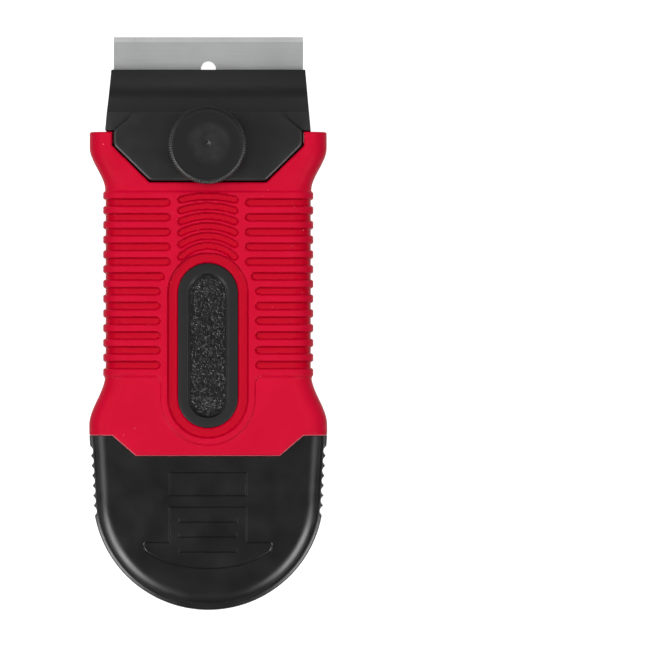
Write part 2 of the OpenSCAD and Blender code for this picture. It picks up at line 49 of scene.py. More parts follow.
def box_mm(node):
    """A CAD node's lowest and highest corner, in millimetres"""
    low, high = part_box(node)
    return np.array(low) / MM, np.array(high) / MM


GRIP_LOW, GRIP_HIGH = box_mm("grip_sleeve")
CAP_LOW, CAP_HIGH = box_mm("tail_cap")
JAW_LOW, JAW_HIGH = box_mm("upper_jaw")
KNOB_LOW, KNOB_HIGH = box_mm("knob")
BADGE_LOW, BADGE_HIGH = box_mm("front_badge")
BACK_BADGE_LOW, BACK_BADGE_HIGH = box_mm("back_badge")
SPINE_LOW, SPINE_HIGH = box_mm("blade_spine")
CORE_HW = box_mm("core_front")[1][0]
BLADE_EDGE = box_mm("blade")[1][1]

# Where cutters end: past every edge of the handle, and how far past a surface that they open
FAR, PAST = 80.0, 1.0

# The handle's thickness and its places along Y
HANDLE_T = CAP_HIGH[2]
RIB_RISE = GRIP_HIGH[2] - HANDLE_T
HORN_TOP = GRIP_HIGH[1]
GRIP_END = GRIP_LOW[1]
LINE_DROP = 4.1
CAP_FRONT = GRIP_END + LINE_DROP
WAIST_Y = HORN_TOP - 11.7
SHOULDER_Y = HORN_TOP - 3.1
FLARE_END = CAP_FRONT + 2.1
FLARE_Y = FLARE_END + 10.1
ZONE_FRONT = WAIST_Y - 0.3
ZONE_BACK = FLARE_Y - 0.3

# Half widths of the grip and of the cap line's three stretches, and the grip's roundings
CAP_HW = GRIP_HIGH[0]
HORN_HW = CAP_HW - 0.1
WAIST_HW = HORN_HW - 3.1
LINE_HORN_X = CAP_HW - 4.75
LINE_FLAT_X = LINE_HORN_X - 4.75
EDGE_R = 4.0
LIP_R = 0.35

# The pad on the upper jaw, and the gap round it in the grip
PAD_HW = HORN_HW - 4.9
PAD_FRONT = JAW_HIGH[1] - 8.6
PAD_REAR = JAW_LOW[1]
PAD_REAR_X = PAD_HW - 7.3
PAD_SIDE_Y = PAD_REAR + 7.15
WINDOW_GAP = 0.3

# The badge's capsule: its radius and the centres of its two round ends
BADGE_R = BADGE_HIGH[0] + 0.05
BADGE_FRONT = BADGE_HIGH[1] - BADGE_HIGH[0]
BADGE_BACK = BADGE_LOW[1] + BADGE_HIGH[0]
CHANNEL_R = BADGE_R + 2.0
BEAD_R = CHANNEL_R + 1.45

# The grooves: straight ones at the sides, arched ones in front of the badge
GROOVE_PITCH = 2.96
GROOVE_COUNT = 12
GROOVE_W = 1.4
FIRST_GROOVE = ZONE_FRONT - 2.2
GROOVE_WALL = 0.3
LONG_GROOVES = 5
LONG_END, STEP_END, SHORT_END = 7.55, 8.75, BEAD_R + 0.15
FLOOR_FRONT, FLOOR_SIDE, FLOOR_BACK = 0.5, 0.1, 0.9
ARC_COUNT = 6
ARC_GROOVE = 1.33
ARC_PITCH = 1.98
ARC_FIRST = ZONE_FRONT - 0.3
ARC_R_FIRST, ARC_R_SHARE = 22.0, 0.82

# The knob, the cap and its finger notches
KNOB_Y = (KNOB_LOW[1] + KNOB_HIGH[1]) / 2
KNOB_R = KNOB_HIGH[0]
KNOB_TEETH = 96
TOOTH_DEPTH = 0.3
KNOB_RIM, KNOB_DISH = 0.1, 0.16
KNOB_FLOOR = KNOB_HIGH[2] - KNOB_RIM - KNOB_DISH
GATE_X, GATE_Y = 0.4, KNOB_Y + 0.35
CAP_TAPER = 0.7
CAP_R = CAP_HW - CAP_TAPER
CAP_ARC_Y = CAP_LOW[1] + CAP_R
NOTCH_COUNT = 7
NOTCH_PITCH = 2.0
NOTCH_DEPTH = 0.58
FIRST_NOTCH = CAP_FRONT - 3.1


# Small helpers for outlines and meshes

def mesh_object(name, points, faces):
    """A new object from points in millimetres, in place, with its faces turned outwards"""
    mesh = bpy.data.meshes.new(name)
    mesh.from_pydata((np.asarray(points, float) * MM).tolist(), [], faces)
    turned = bmesh.new()
    turned.from_mesh(mesh)
    bmesh.ops.recalc_face_normals(turned, faces=turned.faces)
    turned.to_mesh(mesh)
    turned.free()
    obj = bpy.data.objects.new(name, mesh)
    bpy.context.scene.collection.objects.link(obj)
    return obj


def stacked(name, rings, closed=False):
    """A body through rings of equal length: capped at both ends, or closed into a loop"""
    n, count = len(rings[0]), len(rings)
    spans = count if closed else count - 1
    faces = [
        (j * n + i, j * n + (i + 1) % n, (j + 1) % count * n + (i + 1) % n, (j + 1) % count * n + i)
        for j in range(spans)
        for i in range(n)
    ]
    if not closed:
        faces += [tuple(range(n)), tuple(range((count - 1) * n, count * n))]
    return mesh_object(name, np.concatenate(rings), faces)


def at_height(outline, z):
    """A plan outline as a ring of points at height z"""
    outline = np.asarray(outline, float)
    return np.column_stack([outline, np.full(len(outline), z)])


def prism(name, outline, low, high):
    """A body with the same plan from low to high"""
    return stacked(name, [at_height(outline, low), at_height(outline, high)])


def both_sides(right):
    """A whole plan outline from its right half"""
    right = np.array(right, float)
    return np.concatenate([right, (right * [-1, 1])[::-1]])


def circle(radius, count, y, x=0.0):
    """A round plan outline with its centre at x, y"""
    angles = np.arange(count) * 2 * np.pi / count
    return np.column_stack([x + radius * np.cos(angles), y + radius * np.sin(angles)])


def headings(outline):
    """The direction from each point of a closed outline to the next, at length 1"""
    ahead = np.roll(outline, -1, axis=0) - outline
    return ahead / np.linalg.norm(ahead, axis=1)[:, None]


def curve(start, corner, end, steps):
    """Points on the arc from start to end that a corner pulls out, both ends among them"""
    t = np.linspace(0, 1, steps + 1)[:, None]
    return (1 - t) ** 2 * start + 2 * t * (1 - t) * corner + t * t * end


def rounded(profile, radius, steps=4):
    """The profile's points, with each inner corner turned into an arc that takes less than half
    of the shorter side"""
    side_share = 0.45
    points = [np.array(p, float) for p in profile]
    out = [points[0]]
    for before, corner, after in zip(points, points[1:], points[2:]):
        to_before, to_after = before - corner, after - corner
        len_before, len_after = np.linalg.norm(to_before), np.linalg.norm(to_after)
        reach = min(radius, side_share * len_before, side_share * len_after)
        start = corner + to_before / len_before * reach
        end = corner + to_after / len_after * reach
        out.extend(curve(start, corner, end, steps))
    return out + [points[-1]]


def plain(obj):
    """obj with its modifiers worked into its mesh"""
    evaluated = obj.evaluated_get(bpy.context.evaluated_depsgraph_get())
    mesh = bpy.data.meshes.new_from_object(evaluated)
    obj.modifiers.clear()
    obj.data = mesh
    return obj


def combined(obj, other, operation):
    """obj after a boolean with another closed object, which is then removed"""
    modifier = obj.modifiers.new("boolean", "BOOLEAN")
    modifier.object = other
    modifier.operation = operation
    modifier.solver = "MANIFOLD"
    plain(obj)
    bpy.data.objects.remove(other)
    return obj


def cut(obj, *cutters):
    """obj less each of the cutters"""
    for cutter in cutters:
        combined(obj, cutter, "DIFFERENCE")
    return obj


def shaded(obj, angle=40):
    """Smooth shading, with edges sharper than the angle kept sharp"""
    obj.data.shade_smooth()
    obj.data.set_sharp_from_angle(angle=np.radians(angle))
    return obj


def mark(obj, name, values):
    """Store a number at each point of obj's mesh, under that name"""
    obj.data.attributes.new(name, "FLOAT", "POINT").data.foreach_set("value", np.ravel(values))


def paint(obj, material):
    """Give the whole of obj one finish"""
    obj.data.materials.clear()
    obj.data.materials.append(material)


# Node trees, with the kinds of node that they use most

MATH, VECTOR_MATH, MIX = "ShaderNodeMath", "ShaderNodeVectorMath", "ShaderNodeMix"
NOISE, MAP_RANGE = "ShaderNodeTexNoise", "ShaderNodeMapRange"


def connect(tree, node, inputs):
    """Fill a node's inputs with values, sockets, or nodes whose first output in use is meant"""
    for key, value in inputs.items():
        if isinstance(value, bpy.types.Node):
            value = next(output for output in value.outputs if output.enabled)
        if isinstance(value, bpy.types.NodeSocket):
            tree.links.new(value, node.inputs[key])
        else:
            node.inputs[key].default_value = value


def add(tree, kind, inputs=None, **settings):
    """A new node with its settings and its inputs"""
    node = tree.nodes.new(kind)
    for key, value in settings.items():
        setattr(node, key, value)
    connect(tree, node, inputs or {})
    return node


def new_tree(name, sizes):
    """A geometry tree with a mesh input and output, a material, and a named input for each size"""
    tree = bpy.data.node_groups.new(name, "GeometryNodeTree")
    tree.interface.new_socket("Geometry", in_out="INPUT", socket_type="NodeSocketGeometry")
    for size, value in sizes.items():
        kind = "NodeSocketInt" if isinstance(value, int) else "NodeSocketFloat"
        tree.interface.new_socket(size, in_out="INPUT", socket_type=kind)
    tree.interface.new_socket("Material", in_out="INPUT", socket_type="NodeSocketMaterial")
    tree.interface.new_socket("Geometry", in_out="OUTPUT", socket_type="NodeSocketGeometry")
    return tree, tree.nodes.new("NodeGroupInput").outputs


def end_tree(tree, given, geometry, offset):
    """The tree's last nodes, which move the points by the offset and paint the result"""
    moved = add(tree, "GeometryNodeSetPosition", {"Geometry": geometry, "Offset": offset})
    real = add(tree, "GeometryNodeRealizeInstances", {0: moved})
    painted = add(tree, "GeometryNodeSetMaterial", {"Geometry": real, "Material": given["Material"]})
    add(tree, "NodeGroupOutput", {0: painted})
    return tree


def grown(obj, make_tree, sizes, material):
    """obj's mesh as a tree made for these sizes shapes it, as a plain mesh. A size is a length,
    or a whole number where it is a count or a seed"""
    tree = make_tree(sizes)
    modifier = obj.modifiers.new(tree.name, "NODES")
    modifier.node_group = tree
    values = {name: size if isinstance(size, int) else size * MM for name, size in sizes.items()}
    values["Material"] = material
    for item in tree.interface.items_tree:
        if item.in_out == "INPUT" and item.name in values:
            modifier[item.identifier] = values[item.name]
    return plain(obj)


# The soft grip

def ease(t):
    """A smooth step from 0 to 1"""
    t = np.clip(t, 0, 1)
    return t * t * (3 - 2 * t)


def grip_hw(y):
    """Half width of the grip at y: straight at the waist, swelling to the horns and the tail"""
    horns = (HORN_HW - WAIST_HW) * ease((y - WAIST_Y) / (SHOULDER_Y - WAIST_Y))
    tail = (CAP_HW - WAIST_HW) * ease((FLARE_Y - y) / (FLARE_Y - FLARE_END))
    return WAIST_HW + horns + tail


def inside(distance, wall):
    """1 inside an outline and 0 outside it, with a soft wall of that width between"""
    return ease(0.5 - distance / wall)


def lip(distance):
    """How far a surface drops at that distance from a rounded edge"""
    t = LIP_R - np.clip(distance, 0, LIP_R)
    return LIP_R - np.sqrt(LIP_R ** 2 - t ** 2)


def badge_distance(x, y):
    """Distance from the middle line of the badge's capsule"""
    return np.hypot(x, y - np.clip(y, BADGE_BACK, BADGE_FRONT))


def arc_distance(x, y, k):
    """Distance from the outline of the arched groove k, which has round ends"""
    radius = ARC_R_FIRST * ARC_R_SHARE ** k
    middle = radius - ARC_GROOVE / 2
    centre_y = ARC_FIRST - k * ARC_PITCH - radius
    reach = np.arcsin((BADGE_R - ARC_GROOVE / 2) / middle)
    angle = np.clip(np.arctan2(x, y - centre_y), -reach, reach)
    return np.hypot(x - middle * np.sin(angle), y - centre_y - middle * np.cos(angle)) - ARC_GROOVE / 2


def window_distance(x, y):
    """Distance outside the window that the pad stands in, measured to its nearest straight side"""
    corner = np.array([PAD_HW - PAD_REAR_X, PAD_SIDE_Y - PAD_REAR])
    normal = np.array([corner[1], -corner[0]]) / np.hypot(*corner)
    diagonal = (np.abs(x) - PAD_REAR_X) * normal[0] + (y - PAD_REAR) * normal[1]
    return np.maximum.reduce([np.abs(x) - PAD_HW, diagonal, PAD_REAR - y]) - WINDOW_GAP


def line_distance(x, y):
    """Distance in front of the line where the cap starts"""
    run = np.array([LINE_HORN_X - LINE_FLAT_X, LINE_DROP])
    normal = np.array([-run[1], run[0]]) / np.hypot(*run)
    diagonal = (np.abs(x) - LINE_FLAT_X) * normal[0] + (y - GRIP_END) * normal[1]
    return np.minimum(y - GRIP_END, np.maximum(diagonal, y - CAP_FRONT))


def grip_columns():
    """Columns round the grip's section. Each has a fixed x, a share of the flat's half width,
    a height and the direction in which the surface faces"""
    fine_hw, corner = 10.2, np.radians(np.linspace(0, 90, 11))
    outer = np.linspace(0, 1, 27)[1:]
    low_z, high_z = EDGE_R, HANDLE_T - EDGE_R
    side_z = np.linspace(high_z, low_z, 5)[1:-1]
    columns = []
    for share in outer[::-1]:
        columns.append((-fine_hw * (1 - share), -share, HANDLE_T, 0, 1))
    for x in np.linspace(-fine_hw, fine_hw, 103):
        columns.append((x, 0, HANDLE_T, 0, 1))
    for share in outer:
        columns.append((fine_hw * (1 - share), share, HANDLE_T, 0, 1))
    for a in corner[1:]:
        columns.append((0, 1, high_z + EDGE_R * np.cos(a), np.sin(a), np.cos(a)))
    for z in side_z:
        columns.append((0, 1, z, 1, 0))
    for a in corner:
        columns.append((0, 1, low_z - EDGE_R * np.sin(a), np.cos(a), -np.sin(a)))
    for share in np.linspace(1, -1, 41)[1:-1]:
        columns.append((0, share, 0, 0, -1))
    for a in corner[::-1]:
        columns.append((0, -1, low_z - EDGE_R * np.sin(a), -np.cos(a), -np.sin(a)))
    for z in side_z[::-1]:
        columns.append((0, -1, z, -1, 0))
    for a in corner[:0:-1]:
        columns.append((0, -1, high_z + EDGE_R * np.cos(a), -np.sin(a), np.cos(a)))
    return np.array(columns).T


def grip_body():
    """The grip's outer skin with the raised zone, the badge's ring and the arched grooves"""
    spare, coarse, fine = 0.5, 0.25, GROOVE_PITCH / 16
    fine_end = ZONE_FRONT + GROOVE_W / 2
    ys = np.concatenate([
        np.arange(GRIP_END - spare, ZONE_BACK - coarse, coarse),
        np.arange(ZONE_BACK, fine_end, fine),
        np.arange(fine_end + coarse, HORN_TOP - coarse, coarse),
        HORN_TOP - LIP_R * np.array([1, 0.55, 0.2, 0.04, 0]),
    ])
    fixed, share, z, face_x, face_z = grip_columns()
    front, back, not_back = face_z > 0.5, face_z < -0.5, face_z > -0.01
    y = np.repeat(ys[:, None], len(z), axis=1)
    x = fixed + share * (grip_hw(y) - EDGE_R) + face_x * EDGE_R
    zone = np.maximum(ZONE_BACK - y, y - ZONE_FRONT)
    bead = badge_distance(x, y) - BEAD_R
    merge = 3.0
    blend = np.clip(0.5 + (bead - zone) / merge, 0, 1)
    joined = bead * (1 - blend) + zone * blend - merge * blend * (1 - blend) / 2
    raised = inside(np.where(front, joined, zone), GROOVE_WALL) * not_back
    arcs = np.minimum.reduce([arc_distance(x, y, k) for k in range(ARC_COUNT)])
    grooved = inside(np.minimum(arcs, badge_distance(x, y) - CHANNEL_R), GROOVE_WALL) * front
    edge = np.minimum(line_distance(x, y), np.minimum(window_distance(x, y), HORN_TOP - y))
    edge = np.minimum(edge, np.where(front | back, badge_distance(x, y) - BADGE_R, LIP_R))
    lift = RIB_RISE * raised * (1 - grooved) - FLOOR_FRONT * grooved - lip(edge)
    rings = np.stack([x + lift * face_x, y, z + lift * face_z], axis=-1)
    grip = stacked("grip", list(rings))
    # The grooves' floors: glossier there, and painted a darker, purer red as painted shade
    mark(grip, "polish_and_shade", grooved)
    return grip


def side_ribs_tree(sizes):
    """Straight grooves that leave ribs between them, open at the sides, with round inner ends"""
    tree, given = new_tree("side ribs", sizes)
    place = add(tree, "ShaderNodeSeparateXYZ", {0: add(tree, "GeometryNodeInputPosition")})
    facing = add(tree, "GeometryNodeInputNormal")
    facing_z = add(tree, "ShaderNodeSeparateXYZ", {0: facing}).outputs["Z"]
    beside = add(tree, MATH, {0: place.outputs["X"]}, operation="ABSOLUTE")
    behind = add(tree, MATH, {0: given["First groove"], 1: place.outputs["Y"]}, operation="SUBTRACT")
    turn = add(tree, MATH, {0: behind, 1: given["Pitch"]}, operation="DIVIDE")
    nearest = add(tree, MATH, {0: turn}, operation="ROUND")
    last = add(tree, MATH, {0: given["Count"], 1: 1}, operation="SUBTRACT")
    index = add(tree, "ShaderNodeClamp", {"Value": nearest, "Min": 0, "Max": last})
    along = add(tree, MATH, {0: index, 1: given["Pitch"]}, operation="MULTIPLY")
    off_y = add(tree, MATH, {0: behind, 1: along}, operation="SUBTRACT")
    end = given["Step end"]
    for side, size in (("LESS_THAN", "Long end"), ("GREATER_THAN", "Short end")):
        past = add(tree, MATH, {0: index, 1: given["Long grooves"]}, operation=side)
        end = add(tree, MIX, {"Factor": past, "A": end, "B": given[size]})
    radius = add(tree, MATH, {0: given["Width"], 1: 2}, operation="DIVIDE")
    centre = add(tree, MATH, {0: end, 1: radius}, operation="ADD")
    short_of = add(tree, MATH, {0: centre, 1: beside}, operation="SUBTRACT")
    off_x = add(tree, MATH, {0: short_of, 1: 0}, operation="MAXIMUM")
    apart = add(tree, "ShaderNodeCombineXYZ", {0: off_x, 1: off_y})
    distance = add(tree, VECTOR_MATH, {0: apart}, operation="LENGTH")
    half = add(tree, MATH, {0: given["Wall"], 1: 2}, operation="DIVIDE")
    wide = add(tree, MATH, {0: radius, 1: half}, operation="ADD")
    narrow = add(tree, MATH, {0: radius, 1: half}, operation="SUBTRACT")
    inner = add(tree, MAP_RANGE, {
        "Value": distance, "From Min": wide, "From Max": narrow,
    }, interpolation_type="SMOOTHSTEP")
    depth = given["Side depth"]
    for side, size in (("MAXIMUM", "Front depth"), ("MINIMUM", "Back depth")):
        turned = add(tree, MATH, {0: facing_z, 1: 0}, operation=side)
        share = add(tree, MATH, {0: turned, 1: turned}, operation="MULTIPLY")
        depth = add(tree, MIX, {"Factor": share, "A": depth, "B": given[size]})
    for share in (inner, -1):
        depth = add(tree, MATH, {0: depth, 1: share}, operation="MULTIPLY")
    offset = add(tree, VECTOR_MATH, {0: facing, "Scale": depth}, operation="SCALE")
    # The side grooves' floors join that mask, for their gloss and their painted shade
    before = add(tree, "GeometryNodeInputNamedAttribute", {"Name": "polish_and_shade"}, data_type="FLOAT")
    floors = add(tree, MATH, {0: before, 1: inner}, operation="MAXIMUM")
    polish_and_shade = add(tree, "GeometryNodeStoreNamedAttribute", {
        "Geometry": given["Geometry"], "Name": "polish_and_shade", "Value": floors,
    }, data_type="FLOAT", domain="POINT")
    return end_tree(tree, given, polish_and_shade, offset)


def core_outline():
    """The plan of the hollow that the core fills, a skin's thickness inside the grip"""
    skin, spare, horn_wall = CAP_HW - CORE_HW, 1.0, 2.0
    flare, shoulder = np.linspace(FLARE_END, FLARE_Y, 8), np.linspace(WAIST_Y, SHOULDER_Y, 8)
    ys = np.concatenate([[GRIP_END - spare], flare, shoulder, [HORN_TOP - horn_wall]])
    return both_sides(np.column_stack([grip_hw(ys) - skin, ys]))


def capsule(radius, steps=48):
    """The outline of the badge's capsule shape at that radius, with points along its sides too"""
    turn, spacing = np.radians(np.linspace(0, 180, steps + 1)), 0.2
    side = np.arange(BADGE_BACK, BADGE_FRONT, spacing)[1:]
    front = np.column_stack([radius * np.cos(turn), BADGE_FRONT + radius * np.sin(turn)])
    back = np.column_stack([-radius * np.cos(turn), BADGE_BACK - radius * np.sin(turn)])
    left = np.column_stack([np.full(len(side), -radius), side[::-1]])
    right = np.column_stack([np.full(len(side), radius), side])
    return np.concatenate([front, left, back, right])


def cap_line(gap):
    """The right half of the bent line where the cap starts, a gap behind the grip's edge"""
    return [(LINE_FLAT_X, GRIP_END - gap), (LINE_HORN_X, CAP_FRONT - gap), (FAR, CAP_FRONT - gap)]


def make_grip(material):
    """The soft grip: a ribbed skin with a window for the pad and each badge, over the core"""
    sizes = {
        "First groove": FIRST_GROOVE, "Pitch": GROOVE_PITCH, "Count": GROOVE_COUNT,
        "Width": GROOVE_W, "Wall": GROOVE_WALL, "Long grooves": LONG_GROOVES,
        "Long end": LONG_END, "Step end": STEP_END, "Short end": SHORT_END,
        "Front depth": RIB_RISE + FLOOR_FRONT, "Side depth": RIB_RISE + FLOOR_SIDE,
        "Back depth": FLOOR_BACK,
    }
    grip = grown(grip_body(), side_ribs_tree, sizes, material)
    skin, below, above = 1.6, -PAST, GRIP_HIGH[2] + PAST
    tilt = np.arctan2(PAD_SIDE_Y - PAD_REAR, PAD_HW - PAD_REAR_X)
    slant = WINDOW_GAP * np.tan(tilt / 2)
    rise = WINDOW_GAP * np.tan(np.radians(45) - tilt / 2)
    window = both_sides([
        (PAD_REAR_X + slant, PAD_REAR - WINDOW_GAP), (PAD_HW + WINDOW_GAP, PAD_SIDE_Y - rise),
        (PAD_HW + WINDOW_GAP, FAR),
    ])
    cut(
        grip,
        prism("window", window, below, above),
        prism("behind_line", both_sides(cap_line(0) + [(FAR, -FAR)]), below, above),
        prism("badge_windows", capsule(BADGE_R), below, above),
        prism("core_hollow", core_outline(), skin, HANDLE_T - skin),
    )
    return shaded(grip, 50)


# Black moulded pieces

def sandy_floor_tree(sizes):
    """A rough floor: every point rises and falls with a fine noise inside a named attribute"""
    tree, given = new_tree("sandy floor", sizes)
    place = add(tree, "GeometryNodeInputPosition")
    scale = add(tree, MATH, {0: 1.0, 1: given["Grain"]}, operation="DIVIDE")
    noise = add(tree, NOISE, {
        "Vector": place, "W": given["Seed"], "Scale": scale, "Detail": 1.0,
    }, noise_dimensions="4D")
    swing = add(tree, MATH, {0: noise, 1: 0.5}, operation="SUBTRACT")
    sand = add(tree, "GeometryNodeInputNamedAttribute", {"Name": "sand"}, data_type="FLOAT")
    height = add(tree, MATH, {0: given["Height"], 1: sand}, operation="MULTIPLY")
    rise = add(tree, MATH, {0: swing, 1: height}, operation="MULTIPLY")
    offset = add(tree, "ShaderNodeCombineXYZ", {2: rise})
    return end_tree(tree, given, given["Geometry"], offset)


def make_badge(name, face_z, back_z, material):
    """A capsule plate with a rounded rim and a shallow sandy recess in its face"""
    radius, rim, slope, dish, middle = BADGE_HIGH[0], 2.0, 0.25, 0.5, 0.02
    floor_z = face_z - np.sign(face_z - back_z) * dish
    profile = rounded([
        (0, back_z), (0, face_z), (rim, face_z), (rim + slope, floor_z), (rim + 2 * slope, floor_z),
    ], 0.18)
    profile += [(inset, floor_z) for inset in np.linspace(rim + 0.65, radius - middle, 28)]
    rings = [at_height(capsule(radius - inset), z) for inset, z in profile]
    badge = stacked(name, rings)
    fade = 0.3
    shares = [ease((inset - rim - fade) / fade) for inset, z in profile]
    mark(badge, "sand", np.repeat(shares, len(rings[0])))
    sizes = {"Grain": 0.28, "Height": 0.31, "Seed": 3}
    return shaded(grown(badge, sandy_floor_tree, sizes, material), 15)


def cap_outline(inset):
    """The cap's plan drawn in by an inset: sides that close in, and a round end"""
    spacing, spare = 0.2, 4.0
    ys = np.arange(CAP_FRONT + spare, CAP_ARC_Y, -spacing)
    widths = CAP_R + CAP_TAPER * (ys - CAP_ARC_Y) / (CAP_FRONT - CAP_ARC_Y) - inset
    angles = np.radians(np.concatenate([np.arange(0, 15, 0.5), np.arange(15, 90.1, 2.5)]))
    arc = np.column_stack([np.cos(angles), -np.sin(angles)]) * (CAP_R - inset) + [0, CAP_ARC_Y]
    right = np.concatenate([np.column_stack([widths, ys]), arc])
    left = (right * [-1, 1])[::-1][1:]
    return np.concatenate([right, left])


def finger_notches_tree(sizes):
    """Scallops in the belt on both sides of the cap, as deep as each point's share of the belt"""
    tree, given = new_tree("finger notches", sizes)
    place = add(tree, "ShaderNodeSeparateXYZ", {0: add(tree, "GeometryNodeInputPosition")})
    behind = add(tree, MATH, {0: given["First notch"], 1: place.outputs["Y"]}, operation="SUBTRACT")
    turn = add(tree, MATH, {0: behind, 1: given["Pitch"]}, operation="DIVIDE")
    nearest = add(tree, MATH, {0: turn}, operation="ROUND")
    off = add(tree, MATH, {0: turn, 1: nearest}, operation="SUBTRACT")
    off = add(tree, MATH, {0: off, 1: 2.0}, operation="MULTIPLY")
    square = add(tree, MATH, {0: off, 1: off}, operation="MULTIPLY")
    scallop = add(tree, MATH, {0: 1.0, 1: square}, operation="SUBTRACT")
    started = add(tree, MATH, {0: turn, 1: -0.5}, operation="GREATER_THAN")
    ends = add(tree, MATH, {0: given["Count"], 1: 0.5}, operation="SUBTRACT")
    going = add(tree, MATH, {0: turn, 1: ends}, operation="LESS_THAN")
    belt = add(tree, "GeometryNodeInputNamedAttribute", {"Name": "belt"}, data_type="FLOAT")
    side = add(tree, MATH, {0: place.outputs["X"]}, operation="SIGN")
    inwards = given["Depth"]
    for share in (scallop, started, going, belt, side, -1):
        inwards = add(tree, MATH, {0: inwards, 1: share}, operation="MULTIPLY")
    offset = add(tree, "ShaderNodeCombineXYZ", {0: inwards})
    return end_tree(tree, given, given["Geometry"], offset)


def groove_line(name, points, width, closed):
    """A cutter for an engraved line along points on the cap's face, narrower at its floor. Its
    section is in shares of half the line's width, and in heights over the face. Where the line
    turns, it is stretched to keep its width, but not by more than a sharp corner needs"""
    points = np.array(points, float)
    ahead = headings(points)
    before = np.roll(ahead, 1, axis=0)
    if not closed:
        ahead[-1], before[0] = ahead[-2], ahead[0]
    middle = ahead + before
    middle /= np.linalg.norm(middle, axis=1)[:, None]
    sharpest = 0.35
    stretch = 1 / np.maximum(sharpest, np.einsum("ij,ij->i", middle, ahead))
    side = np.column_stack([-middle[:, 1], middle[:, 0]]) * (stretch * width / 2)[:, None]
    half = [(0.5, -0.3), (0.7, -0.06), (1.7, 0), (1.7, 0.3)]
    section = half + [(-share, rise) for share, rise in half[::-1]]
    rings = [
        np.array([(*(point + share * out), HANDLE_T + rise) for share, rise in section])
        for point, out in zip(points, side)
    ]
    return stacked(name, rings, closed)


def cap_marks():
    """Cutters for the bare frame, the arrow and its three bars"""
    line_w = 0.2
    frame_hw, frame_top, frame_low = 7.7, CAP_FRONT - 7.4, CAP_FRONT - 12.0
    arrow_top = frame_low - 2.3
    arm_y, arm_hw, tip_y, bend_x = arrow_top - 7.1, 12.9, arrow_top - 12.3, 7.5
    arm_end = rounded([
        (frame_hw + 1, arm_y), (arm_hw, arm_y), (arm_hw - 0.2, arm_y - 1.6), (bend_x, tip_y + 0.6),
    ], 1.0, 6)
    sweep = curve(arm_end[-2], (bend_x, tip_y), (0, tip_y), 11)
    right = [(frame_hw, arrow_top), (frame_hw, arm_y), *arm_end[:-2], *sweep]
    left = [(-x, y) for x, y in right[::-1][1:]]
    frame_line = both_sides([(frame_hw, frame_low), (frame_hw, frame_top)])
    marks = [
        groove_line("frame_line", frame_line, line_w, True),
        groove_line("arrow_line", right + left, line_w, True),
    ]
    bar_hw, bar_h, pitch = 5.8, 0.8, 3.0
    for k in (1, 2, 3):
        low = arrow_top - k * pitch
        bar = [(-bar_hw, low + bar_h), (-bar_hw, low), (bar_hw, low), (bar_hw, low + bar_h)]
        marks.append(groove_line("bar_line", bar, line_w, False))
    return marks


def make_cap(material):
    """The tail cap: a shell with a belt, notched at the sides, and engraved marks on its face"""
    belt_out, foot, belt_low, belt_high = 0.7, 1.9, 3.4, HANDLE_T - 4.4
    wall_in, edge_in, edge_r, face_in = 1.2, 3.65, 3.3, 5.5
    profile = rounded([
        (belt_out + 4, 0), (belt_out + foot, 0), (belt_out, foot), (belt_out, belt_low), (0, belt_low),
        (0, belt_high - 0.45), (0.12, belt_high - 0.12), (0.62, belt_high + 0.12),
        (wall_in, belt_high + 0.16),
    ], 0.3)
    profile.append((wall_in + 0.04, belt_high + 0.4))
    for turn in np.radians(np.linspace(47, 0, 16)):
        profile.append((edge_in - edge_r * np.sin(turn), HANDLE_T - edge_r * (1 - np.cos(turn))))
    profile.append((face_in, HANDLE_T))
    outlines = [at_height(cap_outline(inset), z) for inset, z in profile]
    cap = stacked("cap_shell", outlines)
    notched_in, fade = 0.6, 0.4
    shares = [ease((notched_in - inset) / fade) for inset, z in profile]
    mark(cap, "belt", np.repeat(shares, len(outlines[0])))
    sizes = {
        "First notch": FIRST_NOTCH, "Pitch": NOTCH_PITCH, "Count": NOTCH_COUNT, "Depth": NOTCH_DEPTH,
    }
    grown(cap, finger_notches_tree, sizes, material)
    wall, side, gap, top = 1.6, 1.9, 0.06, HANDLE_T
    hollow = [(side + 1, wall), (side, wall + 1), (side, top - 3.4), (side + wall, top - wall)]
    cut(
        cap,
        stacked("cap_hollow", [at_height(cap_outline(inset), z) for inset, z in hollow]),
        *cap_marks(),
        prism("in_front", both_sides(cap_line(gap) + [(FAR, FAR)]), -PAST, HANDLE_T + PAST),
    )
    return shaded(cap, 25)


def knob_teeth_tree(sizes):
    """Teeth round the rim, each a smooth dent that fades out where the crown starts"""
    tree, given = new_tree("knob teeth", sizes)
    place = add(tree, "GeometryNodeInputPosition")
    axis = add(tree, "ShaderNodeCombineXYZ", {1: given["Centre"]})
    out = add(tree, VECTOR_MATH, {0: place, 1: axis}, operation="SUBTRACT")
    flat = add(tree, VECTOR_MATH, {0: out, 1: (1, 1, 0)}, operation="MULTIPLY")
    parts = add(tree, "ShaderNodeSeparateXYZ", {0: flat}).outputs
    angle = add(tree, MATH, {0: parts["Y"], 1: parts["X"]}, operation="ARCTAN2")
    turn = add(tree, MATH, {0: angle, 1: given["Teeth"]}, operation="MULTIPLY")
    wave = add(tree, MATH, {0: turn}, operation="COSINE")
    dent = add(tree, MAP_RANGE, {"Value": wave, "From Min": 1.0, "From Max": -1.0})
    distance = add(tree, VECTOR_MATH, {0: flat}, operation="LENGTH")
    start = add(tree, MATH, {0: given["Radius"], 1: given["Fade"]}, operation="SUBTRACT")
    rim = add(tree, MAP_RANGE, {
        "Value": distance, "From Min": start, "From Max": given["Radius"],
    }, interpolation_type="SMOOTHSTEP")
    depth = dent
    for share in (rim, given["Depth"], -1):
        depth = add(tree, MATH, {0: depth, 1: share}, operation="MULTIPLY")
    away = add(tree, VECTOR_MATH, {0: flat}, operation="NORMALIZE")
    offset = add(tree, VECTOR_MATH, {0: away, "Scale": depth}, operation="SCALE")
    return end_tree(tree, given, given["Geometry"], offset)


